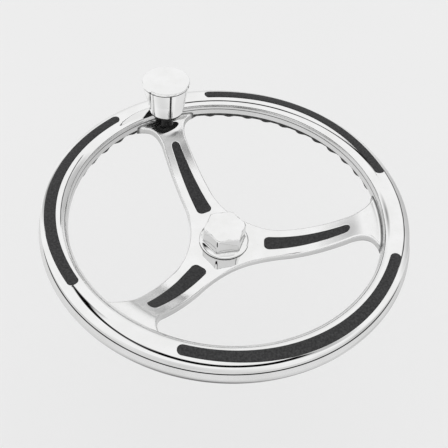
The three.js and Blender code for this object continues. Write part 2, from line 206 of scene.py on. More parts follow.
def turned(name, profile, material, steps):
    """A closed anticlockwise (radius, height) profile turned about the knob's axis."""
    angles = np.linspace(0, 2 * math.pi, steps, endpoint=False)
    x = KNOB_X + np.outer(np.cos(angles), profile[:, 0])
    y = KNOB_Y + np.outer(np.sin(angles), profile[:, 0])
    z = np.tile(profile[:, 1] + RIM_TOP, (steps, 1))
    vertices = np.stack([x, y, z], 2).reshape(-1, 3)
    return make_object(name, vertices, grid_faces(steps, len(profile), True, True), material)


def swept(name, stations, material, closed=True, smooth=32):
    """stations are (angle, closed anticlockwise profile) pairs about the wheel's axis."""
    columns = len(stations[0][1])
    vertices = []
    for angle, profile in stations:
        x, y = polar(profile[:, 0], angle)
        vertices.append(np.stack([x, y, profile[:, 1]], 1))
    faces = grid_faces(len(stations), columns, closed, True)
    if not closed:
        last = (len(stations) - 1) * columns
        faces.append(tuple(range(columns)))
        faces.append(tuple(last + j for j in reversed(range(columns))))
    return make_object(name, np.concatenate(vertices), faces, material, smooth)


# ---- materials ----
def new_material(name):
    material = bpy.data.materials.new(name)
    material.use_nodes = True
    tree = material.node_tree
    tree.nodes.clear()
    output = tree.nodes.new("ShaderNodeOutputMaterial")
    shader = tree.nodes.new("ShaderNodeBsdfPrincipled")
    tree.links.new(shader.outputs["BSDF"], output.inputs["Surface"])
    coordinates = tree.nodes.new("ShaderNodeTexCoord")
    return material, tree, shader, coordinates.outputs["Object"]


def noise(tree, coordinates, scale, detail=4.0, roughness=0.55):
    node = tree.nodes.new("ShaderNodeTexNoise")
    node.inputs["Scale"].default_value = scale
    node.inputs["Detail"].default_value = detail
    node.inputs["Roughness"].default_value = roughness
    tree.links.new(coordinates, node.inputs["Vector"])
    return node.outputs["Fac"]


def mapped(tree, value, low, high, from_low=0.3, from_high=0.7):
    node = tree.nodes.new("ShaderNodeMapRange")
    node.inputs["From Min"].default_value = from_low
    node.inputs["From Max"].default_value = from_high
    node.inputs["To Min"].default_value = low
    node.inputs["To Max"].default_value = high
    tree.links.new(value, node.inputs["Value"])
    return node.outputs["Result"]


def math_node(tree, operation, *values):
    node = tree.nodes.new("ShaderNodeMath")
    node.operation = operation
    for socket, value in zip(node.inputs, values):
        if isinstance(value, (int, float)):
            socket.default_value = value
        else:
            tree.links.new(value, socket)
    return node.outputs[0]


def grey_ramp(tree, value, stops):
    """stops are (value from 0 to 1, linear grey) pairs."""
    ramp = tree.nodes.new("ShaderNodeValToRGB")
    elements = ramp.color_ramp.elements
    while len(elements) < len(stops):
        elements.new(0.5)
    for element, (position, grey) in zip(elements, stops):
        element.position = position
        element.color = (grey, grey, grey, 1)
    tree.links.new(value, ramp.inputs["Fac"])
    return ramp.outputs["Color"]


def multiplied(tree, colour, factor):
    node = tree.nodes.new("ShaderNodeMix")
    node.data_type = "RGBA"
    node.blend_type = "MULTIPLY"
    node.inputs["Factor"].default_value = 1
    tree.links.new(colour, node.inputs[6])
    tree.links.new(factor, node.inputs[7])
    return node.outputs[2]


def mixed_colour(tree, value, dark, light):
    ramp = tree.nodes.new("ShaderNodeValToRGB")
    ramp.color_ramp.elements[0].color = (*dark, 1)
    ramp.color_ramp.elements[1].color = (*light, 1)
    ramp.color_ramp.elements[0].position = 0.35
    ramp.color_ramp.elements[1].position = 0.65
    tree.links.new(value, ramp.inputs["Fac"])
    return ramp.outputs["Color"]


def plain_grey(grey):
    return (grey, grey, grey)


def bump(tree, shader, value, distance, strength):
    node = tree.nodes.new("ShaderNodeBump")
    node.inputs["Distance"].default_value = distance
    node.inputs["Strength"].default_value = strength
    tree.links.new(value, node.inputs["Height"])
    tree.links.new(node.outputs["Normal"], shader.inputs["Normal"])


def vector_node(tree, operation, vector, other=None):
    node = tree.nodes.new("ShaderNodeVectorMath")
    node.operation = operation
    tree.links.new(vector, node.inputs[0])
    if other:
        node.inputs[1].default_value = other
    return node.outputs["Value"]


def polished_steel(name, satin=None, clear=None, crease_shade=None, seam_shade=None, side_shade=None):
    """Mirror-polished cast stainless. Lengths are in millimetres.

    satin: (start radius, full radius, roughness) of a duller zone that starts at a distance from the shaft
    clear: with satin, (start, end) distance from the knob's axis over which the duller zone comes in
    crease_shade: with satin, (start, end) radius over which painted shade comes in, in the corner where spoke
    meets rim
    seam_shade: (height, half width) of a line of painted shade along a joint between two parts
    side_shade: (upward lean of the surface, grey) stops of painted shade that darken walls and undersides
    """
    material, tree, shader, place = new_material(name)
    shader.inputs["Metallic"].default_value = 1
    colour = mixed_colour(tree, noise(tree, place, 45), (0.90, 0.90, 0.895), (0.95, 0.95, 0.95))
    dullness = mapped(tree, noise(tree, place, 160), 0.02, 0.05)
    parts = tree.nodes.new("ShaderNodeSeparateXYZ")
    tree.links.new(place, parts.inputs[0])
    if seam_shade:
        # painted shade: a dark line at one height, where two parts meet
        height, half = seam_shade
        above = math_node(tree, "SUBTRACT", parts.outputs["Z"], height * MM)
        distance = math_node(tree, "ABSOLUTE", above)
        colour = multiplied(tree, colour, mapped(tree, distance, 0.05, 1, half * MM, (half + 0.15) * MM))
    if side_shade:
        # painted shade: walls and undersides darker according to which way the surface faces
        facing = tree.nodes.new("ShaderNodeSeparateXYZ")
        tree.links.new(tree.nodes["Texture Coordinate"].outputs["Normal"], facing.inputs[0])
        lean = math_node(tree, "MULTIPLY_ADD", facing.outputs["Z"], 0.5, 0.5)
        colour = multiplied(tree, colour, grey_ramp(tree, lean, [((z + 1) / 2, grey) for z, grey in side_shade]))
    if satin:
        start, full, roughness = satin
        plan = tree.nodes.new("ShaderNodeCombineXYZ")
        tree.links.new(parts.outputs["X"], plan.inputs["X"])
        tree.links.new(parts.outputs["Y"], plan.inputs["Y"])
        radius = vector_node(tree, "LENGTH", plan.outputs[0])
        brushed = mapped(tree, radius, 0, roughness, start * MM, full * MM)
        if clear:
            from_knob = vector_node(tree, "DISTANCE", plan.outputs[0], (KNOB_X * MM, KNOB_Y * MM, 0))
            shown = mapped(tree, from_knob, 0, 1, clear[0] * MM, clear[1] * MM)
            brushed = math_node(tree, "MULTIPLY", brushed, shown)
        if crease_shade:
            # painted shade in the corner where the spoke meets the rim
            colour = multiplied(tree, colour, mapped(tree, radius, 1, 0.25, crease_shade[0] * MM, crease_shade[1] * MM))
        dullness = math_node(tree, "ADD", dullness, brushed)
    tree.links.new(colour, shader.inputs["Base Color"])
    tree.links.new(dullness, shader.inputs["Roughness"])
    bump(tree, shader, noise(tree, place, 900, 2), 0.00002, 0.02)
    return material


def machined_steel(name):
    """Turned stainless with fine rings of tool marks."""
    material, tree, shader, place = new_material(name)
    shader.inputs["Metallic"].default_value = 1
    colour = mixed_colour(tree, noise(tree, place, 60), (0.52, 0.52, 0.53), (0.66, 0.66, 0.67))
    tree.links.new(colour, shader.inputs["Base Color"])
    tree.links.new(mapped(tree, noise(tree, place, 300), 0.22, 0.36), shader.inputs["Roughness"])
    bump(tree, shader, noise(tree, place, 2500, 2), 0.00004, 0.15)
    return material


def soft_black(name, dark, light, roughness):
    """Moulded polyurethane: a fine leathery grain over a slightly uneven matt surface."""
    material, tree, shader, place = new_material(name)
    tree.links.new(mixed_colour(tree, noise(tree, place, 520, 4), dark, light), shader.inputs["Base Color"])
    uneven = mapped(tree, noise(tree, place, 420), roughness - 0.08, roughness + 0.08)
    tree.links.new(uneven, shader.inputs["Roughness"])
    shader.inputs["Specular IOR Level"].default_value = 0.35
    cells = tree.nodes.new("ShaderNodeTexVoronoi")
    cells.inputs["Scale"].default_value = 900
    tree.links.new(place, cells.inputs["Vector"])
    bump(tree, shader, cells.outputs["Distance"], 0.0003, 0.6)
    return material


def smooth_black(name, roughness):
    """Turned black acetal or rubber, with faint streaks in its gloss."""
    material, tree, shader, place = new_material(name)
    colour = mixed_colour(tree, noise(tree, place, 90), plain_grey(0.004), plain_grey(0.008))
    tree.links.new(colour, shader.inputs["Base Color"])
    streaks = mapped(tree, noise(tree, place, 240), roughness - 0.06, roughness + 0.08)
    tree.links.new(streaks, shader.inputs["Roughness"])
    shader.inputs["Specular IOR Level"].default_value = 0.15
    bump(tree, shader, noise(tree, place, 1600, 2), 0.00003, 0.1)
    return material


# painted shade along the joint between the rim's two shells, and under the knob's cap
RIM_SEAM_SHADE = (RIM_TOP - 12.65, 0.4)
KNOB_SEAM_SHADE = (RIM_TOP + 41.9, 0.7)
SPOKE_STEEL = polished_steel(
    # painted shade in the spokes' corner at the rim
    "polished spokes", satin=(84, 108, 0.2), clear=(14, 18), crease_shade=(166.4, 167.4),
    # painted shade on the spokes' walls and undersides
    side_shade=[(-1, 0.6), (0.0, 0.62), (0.35, 0.8), (0.7, 1)],
)
SHELL_STEEL = polished_steel(
    "satin lower shell", satin=(120, 150, 0.13), seam_shade=RIM_SEAM_SHADE,
    # painted shade on the lower shell's walls and underside
    side_shade=[(-1, 0.28), (-0.55, 0.35), (-0.1, 0.73), (0.6, 0.8)],
)
CAP_STEEL = polished_steel("polished upper shell", seam_shade=RIM_SEAM_SHADE)
KNOB_STEEL = polished_steel("polished knob", seam_shade=KNOB_SEAM_SHADE)
# painted shade on the nut's walls
NUT_STEEL = polished_steel("polished nut", side_shade=[(-1, 0.7), (0.1, 0.74), (0.6, 1)])
MACHINED = machined_steel("machined_stainless")
INSERT = soft_black("soft_insert", (0.013, 0.013, 0.014), (0.045, 0.045, 0.046), 0.62)
GRIP = soft_black("soft_grip", plain_grey(0.012), plain_grey(0.022), 0.6)
ACETAL = smooth_black("acetal", 0.3)
GASKET = smooth_black("gasket_rubber", 0.5)


# ---- rim ----
def ring_angles(extra):
    """Even steps all round, with more where the inserts end."""
    even = np.radians(np.arange(0, 360, 1.0))
    return np.unique(np.round(np.concatenate([even, np.array(extra) % (2 * math.pi)]), 7))


INSERT_ARC = math.radians(41.5)  # half the arc that a rim insert spans
INSERT_CENTRES = [math.radians(60 + 120 * i) for i in range(SPOKES)]
INSERT_IN, INSERT_OUT = 176.5, 186.7  # its edges near its ends
SWELL_IN, SWELL_OUT = 1.7, 2.9  # how far they have moved outward halfway along
TIP_MIDDLE, TIP_HALF = 181.65, 5.15  # middle radius and half width at its very tip
POCKET_GAP = 0.22  # how much wider each recess is than its insert, on every side
CUT_EDGE = 0.18  # bevel round the recesses
CROWN_APEX, CROWN_RISE = 182.0, 0.4
CROWN_INNER_RADIUS, CROWN_OUTER_RADIUS = 16.0, 22.0
CROWN_IN, CROWN_OUT = 168.74, 192.3


def crown(r):
    """Height of the steel crown: a flatter arc outside its apex than inside."""
    out = np.asarray(r, float) - CROWN_APEX
    bend = np.where(out < 0, CROWN_INNER_RADIUS, CROWN_OUTER_RADIUS)
    return RIM_TOP + CROWN_RISE - bend + np.sqrt(bend**2 - out**2)


def insert_span(angle, centre, spare):
    """A rim insert's section at an angle, or None beyond its round ends.

    Gives its middle radius, its half width there, the half width left by the round end, and how far
    beyond the end's centre the angle is.
    """
    off = abs((angle - centre + math.pi) % (2 * math.pi) - math.pi)
    swell = math.cos(min(off / INSERT_ARC, 1) * math.pi / 2) ** 2
    inner, outer = INSERT_IN + SWELL_IN * swell - spare, INSERT_OUT + SWELL_OUT * swell + spare
    middle, half = (inner + outer) / 2, (outer - inner) / 2
    beyond = (off - INSERT_ARC) * middle + half - spare
    if beyond >= half:
        return None
    across = half if beyond <= 0 else math.sqrt(half * half - beyond * beyond)
    return middle, half, across, max(beyond, 0.0)


def end_angles(centre, spare):
    """Angles that resolve the insert's two round ends."""
    half = (INSERT_OUT - INSERT_IN) / 2 + spare
    beyond = half * np.sin(np.linspace(0, math.pi / 2, 22))
    off = INSERT_ARC + (beyond - half + spare) / TIP_MIDDLE
    return np.concatenate([centre + off, centre - off])


def rim_cap():
    """The upper shell: a domed crown with round-ended pockets for the inserts."""
    extra = np.concatenate([end_angles(c, POCKET_GAP) for c in INSERT_CENTRES])
    edge_r, edge_z = CROWN_OUT, float(crown(CROWN_OUT)) - RIM_TOP
    lip_r, lip_z = CROWN_IN, float(crown(CROWN_IN)) - RIM_TOP
    below = rounded(
        [(edge_r, edge_z), (193.1, edge_z - 0.9, 0.9), (193.25, -12.55, 0.2), (190.9, -12.55, 0.2),
         (190.1, -8.2, 1), (187.0, -6.4, 1), (176.5, -6.2, 1), (lip_r + 2.1, lip_z - 1.3, 0.2), (lip_r, lip_z)],
        closed=False,
    )[1:]
    below = (below + (0, RIM_TOP))[::-1]
    floor = RIM_TOP - 3.1
    spread = np.linspace(0, 1, 13)
    stations = []
    for angle in ring_angles(extra):
        spans = [s for s in (insert_span(angle, c, POCKET_GAP) for c in INSERT_CENTRES) if s]
        middle, _, across, _ = spans[0] if spans else (CROWN_APEX, 0, 0.0, 0)
        edge = min(CUT_EDGE, across)
        low, high = middle - across, middle + across
        left = CROWN_IN + (low - edge - CROWN_IN) * spread[1:] ** 1.5
        right = high + edge + (CROWN_OUT - high - edge) * spread
        if across > 0:
            pocket = [(low, float(crown(low)) - edge), (low, floor),
                      (high, floor - 0.9), (high, float(crown(high)) - edge)]
        else:
            pocket = [(middle, float(crown(middle)))] * 4
        row = [(r, float(crown(r))) for r in left] + pocket + [(r, float(crown(r))) for r in right]
        stations.append((angle, np.concatenate([np.array(row)[::-1], below])))
    piece = swept("rim_upper_shell", stations, CAP_STEEL)
    return finish_piece(piece, "wheel", "polished_stainless", "rim_cap")


GRIP_START = math.radians(13)
GRIP_ARC = math.radians(94)
GRIP_SPARE = math.radians(0.08)  # clearance at each end of its recess
GRIP_BUMPS = 12
BEAD_CENTRE = (183.2, -18.8)
BEAD_RADIUS = 14.1


def base_profile(pocketed):
    """The lower shell's section, anticlockwise, with or without the recess that takes a finger grip."""
    bead = arc_points(*BEAD_CENTRE, BEAD_RADIUS, -142, 0, 40)
    lip = rounded(
        [tuple(bead[-1]), (197.15, -16.0, 2.5), (193.55, -12.95, 0.2), (190.9, -12.95)], closed=False
    )[1:]
    inside = [(190.9, -15.4), (194.6, -18.8), (191.4, -26.4), (184.5, -29.8), (178.2, -17.2), (171, -16.8),
              (172.4, -11)]
    shoulder = rounded(
        [(172.6, -9.0), (170.6, -8.3, 0.2), (168.45, -7.0, 0.2), (168.0, -9.5, 1.0), (167.95, -19.4, 0.3),
         tuple(bead[0])],
        closed=False,
    )[:-1]
    foot = bead[0].copy()
    if pocketed:
        foot = (175.8, -19.45)
        recessed = bead[:, 0] <= 180.6
        bead[recessed] = np.linspace(foot, (181.6, -28.6), recessed.sum())
    face = np.linspace(shoulder[-1], foot, 12)[1:-1]
    return np.concatenate([bead, lip, inside, shoulder, face]) + (0, RIM_TOP)


def rim_base():
    """The lower shell: a round bead with a recess for each finger grip."""
    plain, pocketed = base_profile(False), base_profile(True)
    stations = []
    for i in range(SPOKES):
        start = math.radians(120 * i) + GRIP_START
        first, last = start - GRIP_SPARE, start + GRIP_ARC + GRIP_SPARE
        following = start + math.radians(120) - GRIP_SPARE
        stations += [(a, pocketed) for a in np.linspace(first, last, 130)]
        stations += [(a, plain) for a in np.linspace(last, following, 36)]
    piece = swept("rim_lower_shell", stations, SHELL_STEEL)
    return finish_piece(piece, "wheel", "polished_stainless", "rim_base")


def rim_insert(index):
    """A soft strip with rounded edges that follows the domed crown."""
    centre = INSERT_CENTRES[index]
    edge = 0.8  # radius of its rounded edge
    even = np.linspace(-INSERT_ARC, INSERT_ARC, 150)[4:-4] + centre
    angles = np.sort(np.concatenate([even, end_angles(centre, 0.0)]))
    across = np.sin(np.linspace(-math.pi / 2, math.pi / 2, 25))
    across = np.sign(across) * np.abs(across) ** 0.8
    rows = []
    for angle in angles:
        middle, half, reach, beyond = insert_span(angle, centre, 0.0) or (TIP_MIDDLE, TIP_HALF, 0.0, TIP_HALF)
        offset = reach * across
        inside = np.clip(half - np.hypot(offset, beyond), 0, None)
        near = np.clip(edge - inside, 0, edge)
        proud = 0.3 + 0.5 * (offset / half) ** 2
        height = crown(middle + offset) + proud - edge + np.sqrt(edge * edge - near * near)
        top = np.stack([middle + offset, height], 1)[::-1]
        foot = np.array([[middle - reach, RIM_TOP - 2.8], [middle + reach, RIM_TOP - 3.8]])
        rows.append((angle, np.concatenate([top, foot])))
    piece = swept(f"rim_soft_insert_{index + 1}", rows, INSERT, closed=False, smooth=50)
    return finish_piece(piece, "wheel", "soft_insert", f"rim_insert_{index + 1}")


def finger_grip(index):
    """A soft pad behind the rim, scooped between its bumps."""
    start = math.radians(120 * index) + GRIP_START
    rows = []
    count = GRIP_BUMPS * 16
    for k in range(count + 1):
        share = k / count
        wave = (1 - math.cos(share * GRIP_BUMPS * 2 * math.pi)) / 2
        scoop = 5 * wave ** 1.15
        end = min(share, 1 - share) * math.degrees(GRIP_ARC)
        tuck = 1.2 * max(0.0, 1 - end / 0.6) ** 2
        corners = [
            (168.0 + tuck, -19.75, 0.4),
            (170.0 + scoop * 0.6 + tuck, -24 + scoop * 0.3, 9),
            (172.3 + scoop * 0.85 + tuck, -28.3 + scoop * 0.5 + tuck, 7),
            (177 + scoop * 0.15, -31.9 + scoop * 0.5 + tuck, 5),
            (180.0, -32.6 + tuck, 0.6),
            (181.2, -28.7, 0.5),
            (175.4, -19.75, 0.5),
        ]
        rows.append((start + share * GRIP_ARC, fixed_rounded(corners) + (0, RIM_TOP)))
    piece = swept(f"finger_grip_pad_{index + 1}", rows, GRIP, closed=False, smooth=45)
    return finish_piece(piece, "wheel", "soft_grip", f"finger_grip_{index + 1}")


# ---- spider ----
FLAT_RADIUS, BEND_START, BEND_END, SPOKE_END = 40.0, 137.0, 162.0, 167.7
RISE_RATE = 0.0041
FLARE_RADIUS, FLARE_START, HALF_SPOKE = 26.0, 138.0, 15.9
HOLLOW_CENTRE, HOLLOW_RADIUS = 153.0, 113.5  # the hollow curve between two spokes


def dish(r):
    """Height of the plate's top face at a distance from the axis, and its slope."""
    r = np.asarray(r, float)
    rise = np.clip(r, FLAT_RADIUS, BEND_START) - FLAT_RADIUS
    length = BEND_END - BEND_START
    slope_at_bend = 2 * RISE_RATE * (BEND_START - FLAT_RADIUS)
    x = np.clip(r, BEND_START, BEND_END) - BEND_START
    height = HUB_TOP + RISE_RATE * rise**2 + slope_at_bend * (x - x**3 / (3 * length**2))
    slope = np.where(r < BEND_START, 2 * RISE_RATE * rise, slope_at_bend * (1 - (x / length) ** 2))
    return height, slope


def spoke_edge():
    """The edge of the spoke on +X, from midway between two spokes out to the rim, with outward normals."""
    hub = arc_points(*polar(HOLLOW_CENTRE, math.pi / 3), HOLLOW_RADIUS, 240, 270, 60)
    flare = arc_points(FLARE_START, HALF_SPOKE + FLARE_RADIUS, FLARE_RADIUS, 270, 352, 60)
    straight = np.linspace(hub[-1], flare[0], 80)[1:-1]
    points = np.concatenate([hub, straight, flare])
    along = np.gradient(points, axis=0)
    along /= np.linalg.norm(along, axis=1)[:, None]
    for _ in range(3):
        along[1:-1] = (along[:-2] + 2 * along[1:-1] + along[2:]) / 4
    along /= np.linalg.norm(along, axis=1)[:, None]
    normals = np.stack([-along[:, 1], along[:, 0]], 1)
    return points, normals


STRIP_IN, STRIP_OUT = 46.7, 137.4  # the spoke insert, from the shaft's axis
STRIP_WIDE, STRIP_NARROW, STRIP_CORNER = 9.2, 5.0, 6.0  # half widths, and the corners at its wide end
STRIP_STRAIGHT = (52.7, 132.4)  # between its rounded ends


def insert_outline(spare):
    """The spoke insert's outline on plan, closed and anticlockwise, for the spoke on +X."""
    inner, outer = STRIP_IN - spare, STRIP_OUT + spare
    wide, narrow, corner = STRIP_WIDE + spare, STRIP_NARROW + spare, STRIP_CORNER + spare
    return rounded([(inner, -wide, corner), (outer, -narrow, narrow * 0.98),
                    (outer, narrow, narrow * 0.98), (inner, wide, corner)])


def outline_half_width(outline, x):
    """Half width of a closed outline, symmetric about y = 0, at each x."""
    upper = outline[outline[:, 1] >= -1e-9]
    upper = upper[np.argsort(upper[:, 0])]
    return np.interp(x, upper[:, 0], upper[:, 1], left=0, right=0)


EDGE_ROUND = 2.4
HOLE = 12.0
POCKET_DEPTH = 3.0
POCKET_TIPS = (46.48, 137.62)  # the recess's two ends
POCKET_IN, POCKET_OUT = 46.4, 137.7  # just clear of them
HUB_END = 46.3  # the last section of the hub plate
FILLET = 3.2  # where the spoke meets the rim
ACROSS = 9  # points from the middle of the spoke to its rounded edge
TURNS = np.radians(np.linspace(0, 90, 9))
INSETS = [(EDGE_ROUND + 0.35, 0.0)]  # (distance in from the edge, distance below the face) down to the wall
INSETS += [(EDGE_ROUND * (1 - math.sin(t)), EDGE_ROUND * (1 - math.cos(t))) for t in TURNS]


def sampled(points, order):
    """Points interpolated at fractional places in their order."""
    places = np.arange(len(points))
    return np.stack([np.interp(order, places, points[:, k]) for k in (0, 1)], 1)


def spoke_rows():
    """Sections across half of the spoke on +X, each from its middle over the edge and back underneath."""
    edge, normals = spoke_edge()
    pocket = insert_outline(POCKET_GAP)
    deepest = edge - normals * INSETS[0][0]
    spine = np.concatenate([
        np.linspace(deepest[0, 0], HUB_END, 34)[:-1],
        eased(POCKET_TIPS[0], STRIP_STRAIGHT[0], 20),
        np.linspace(STRIP_STRAIGHT[0], 132.2, 76)[1:-1],
        eased(POCKET_TIPS[1], STRIP_STRAIGHT[1], 20)[::-1],
        np.linspace(POCKET_OUT, deepest[-1, 0], 74)[1:],
    ])
    order = np.interp(spine, deepest[:, 0], np.arange(len(edge)))
    edge, normals = sampled(edge, order), sampled(normals, order)
    normals /= np.linalg.norm(normals, axis=1)[:, None]
    deepest = edge - normals * INSETS[0][0]
    reach_first = np.hypot(*deepest[spine > POCKET_OUT][0])
    reach_last = np.hypot(*deepest[-1])
    t = np.linspace(0, 1, ACROSS)
    rows = []
    for k, x in enumerate(spine):
        width = float(outline_half_width(pocket, x))
        inner = deepest[k]
        share = (x - spine[0]) / (HUB_END - spine[0])
        if x > POCKET_IN:
            start = np.array([x, width])
        elif share < 0.5:
            start = np.array(polar(HOLE, math.radians(60 * (1 - 2 * share))))
        else:
            start = np.array([HOLE + (HUB_END - HOLE) * (2 * share - 1), 0.0])
        if x > POCKET_OUT:
            reach = np.hypot(*inner)
            progress = (reach - reach_first) / (reach_last - reach_first)
            middle = POCKET_OUT + (SPOKE_END + 0.5 - POCKET_OUT) * progress
            plan = np.stack(polar(middle + (reach - middle) * t * t, math.atan2(inner[1], inner[0]) * t), 1)
        else:
            plan = start + (inner - start) * t[:, None]
        height = dish(np.hypot(*plan.T))[0]
        top = [(*p, z) for p, z in zip(plan, height)]
        if width > 0:
            outward = min(CUT_EDGE, width)
            floor = top[0][2] - POCKET_DEPTH
            top[:1] = [(x, 0.0, dish(x)[0] - POCKET_DEPTH), (x, width * 0.6, floor), (x, width, floor),
                       (x, width, top[0][2] - outward), (x, width + outward, top[0][2])]
        else:
            top[:1] = [top[0]] * 5
        for inset, drop in INSETS[1:]:
            p = edge[k] - normals[k] * inset
            top.append((*p, dish(np.hypot(*p))[0] - drop))
        thickness = PLATE * math.hypot(1, dish(np.hypot(*edge[k]))[1])
        under = []
        for inset, drop in INSETS[::-1]:
            p = edge[k] - normals[k] * inset
            under.append((*p, dish(np.hypot(*p))[0] - thickness + drop))
        back = [(*p, z - PLATE * math.hypot(1, dish(np.hypot(*p))[1])) for p, z in zip(plan[:-1], height[:-1])]
        under += back[::-1]
        middle_point = (x, 0.0) if x > POCKET_IN else tuple(start)
        under[-1] = (*middle_point, under[-1][2])
        rows.append(top + under)
    rows = np.array(rows)
    near_rim = np.clip(np.hypot(rows[..., 0], rows[..., 1]) - (SPOKE_END + 0.3 - FILLET), 0, FILLET)
    upper = np.arange(rows.shape[1]) < rows.shape[1] - len(INSETS) - ACROSS + 1
    rows[..., 2] += np.where(upper, FILLET - np.sqrt(FILLET**2 - near_rim**2), 0)
    return rows


def spider():
    """One piece: hub plate and three dished spokes with round-ended recesses, blended into the rim."""
    rows = spoke_rows()
    count, columns = rows.shape[:2]
    half = grid_faces(count, columns, False, False)
    hole = int(np.argmax(np.hypot(rows[:, 0, 0], rows[:, 0, 1]) > HOLE + 1e-6))
    for i in range(hole):
        half.append((i * columns, (i + 1) * columns, (i + 2) * columns - 1, (i + 1) * columns - 1))
    half.append(tuple((count - 1) * columns + j for j in range(columns)))
    flat = rows.reshape(-1, 3)
    vertices, faces = [], []
    for i in range(SPOKES):
        for side in (1, -1):
            base = len(vertices) * len(flat)
            vertices.append(spun(flat * (1, side, 1), i))
            faces += [tuple(base + v for v in (face if side > 0 else face[::-1])) for face in half]
    piece = make_object("spider_plate", np.concatenate(vertices), faces, SPOKE_STEEL, 38)
    return finish_piece(piece, "wheel", "polished_stainless", "spider")


def spoke_insert(index):
    """A tapered soft strip with round edges, following the dished spoke."""
    outline = insert_outline(0.0)
    edge = 0.9  # radius of its rounded edge
    xs = np.concatenate([
        eased(STRIP_IN, STRIP_STRAIGHT[0], 18),
        np.linspace(*STRIP_STRAIGHT, 110)[1:-1],
        eased(STRIP_OUT, STRIP_STRAIGHT[1], 18)[::-1],
    ])
    border = densify(outline, 0.3)
    rows = []
    across = np.sin(np.linspace(-math.pi / 2, math.pi / 2, 21))
    for x in xs:
        width = float(outline_half_width(outline, x))
        offset = across * width
        plan = np.stack([np.full_like(offset, x), offset], 1)
        inside = np.array([np.min(np.hypot(*(border - p).T)) for p in plan])
        inside[[0, -1]] = 0
        near = np.clip(edge - inside, 0, edge)
        height = dish(np.hypot(*plan.T))[0] - edge + np.sqrt(edge * edge - near * near)
        height += 0.35 * np.sqrt(np.clip(inside / 9, 0, 1)) * (inside > 0) - 0.02
        top = np.concatenate([plan, height[:, None]], 1)[::-1]
        low = dish(x)[0] - 2.8
        rows.append(np.concatenate([top, [[x, -width, low], [x, width, low]]]))
    columns = len(rows[0])
    faces = [face[::-1] for face in grid_faces(len(rows), columns, False, True)]
    last = (len(rows) - 1) * columns
    faces.append(tuple(reversed(range(columns))))
    faces.append(tuple(last + j for j in range(columns)))
    vertices = spun(np.concatenate(rows), index)
    piece = make_object(f"spoke_soft_insert_{index + 1}", vertices, faces, INSERT, 50)
    return finish_piece(piece, "wheel", "soft_insert", f"spoke_insert_{index + 1}")


# ---- hub ----
NUT_TURN = math.radians(13.4)
NUT_CORNER, NUT_CORNER_ROUND = 24.9, 3.2
NUT_TOP_ROUND = 1.6
NUT_BORE = 6.35


def hexagon_radius(angle, corner, rounding):
    """Distance to the side of a hexagon whose corners are rounded, at an angle from one corner."""
    off = (angle + math.pi / 6) % (math.pi / 3) - math.pi / 6
    flat = corner * math.cos(math.pi / 6)
    centre = (flat - rounding) / math.cos(math.pi / 6)
    side = flat / math.cos(math.pi / 6 - abs(off))
    round_part = centre * math.cos(off) + math.sqrt(max(rounding**2 - (centre * math.sin(off)) ** 2, 0))
    join = math.atan2(rounding * math.sin(math.pi / 6), centre + rounding * math.cos(math.pi / 6))
    return round_part if abs(off) < join else side


def ring_row(radius, z, angles):
    radius = np.broadcast_to(radius, angles.shape)
    return np.stack([radius * np.cos(angles), radius * np.sin(angles), np.full(len(angles), z)], 1)


def cap_nut():
    """A hexagon with soft corners and a turned crown, on a round flange, bored from below."""
    low, high = (corner[2] for corner in box_mm("cap_nut"))
    flange = box_mm("cap_nut")[1][0]
    angles = np.linspace(0, 2 * math.pi, 360, endpoint=False)
    hexagon = np.array([hexagon_radius(a - NUT_TURN, NUT_CORNER, NUT_CORNER_ROUND) for a in angles])
    rows = [ring_row(6.9, low, angles)]
    for radius, z in ((flange - 0.5, 0), (flange, 0.4), (flange - 0.1, 0.9), (flange - 0.6, 1.25), (26.2, 1.75)):
        rows.append(ring_row(radius, low + z, angles))
    for flare, z in ((0.8, 2.0), (0.3, 2.3), (0.06, 2.8), (0, 4.0)):
        rows.append(ring_row(hexagon + flare, low + z, angles))
    for t in np.linspace(0, math.pi / 2, 10):
        z = high - NUT_TOP_ROUND * (1 - math.sin(t))
        chamfer = NUT_CORNER - 0.35 - 0.55 * max(0.0, z - (high - 2.2))
        rows.append(ring_row(np.minimum(hexagon, chamfer) - NUT_TOP_ROUND * (1 - math.cos(t)), z, angles))
    rows += [ring_row(radius, high, angles) for radius in (20.2, 12.0, 0.0)]
    bore = ((0.0, 19.0), (NUT_BORE, 17.5), (NUT_BORE, 0.6))
    rows += [ring_row(radius, low + z, angles) for radius, z in bore]
    count, steps = len(rows), len(angles)
    faces = []
    for i in range(count):
        if i == count - 4:  # the crown's centre and the bore's end are two separate points
            continue
        below, above = i * steps, ((i + 1) % count) * steps
        for j in range(steps):
            k = (j + 1) % steps
            faces.append((below + j, below + k, above + k, above + j))
    piece = make_object("hub_cap_nut", np.concatenate(rows), faces, NUT_STEEL, 35)
    return finish_piece(piece, "wheel", "polished_stainless", "cap_nut")


BORE_RADIUS = 9.525  # at the rear face; it tapers 1 in 12 on diameter
KEY_HALF, KEY_REACH = 2.38, BORE_RADIUS + 2.4  # the keyway's half width, and its floor from the axis


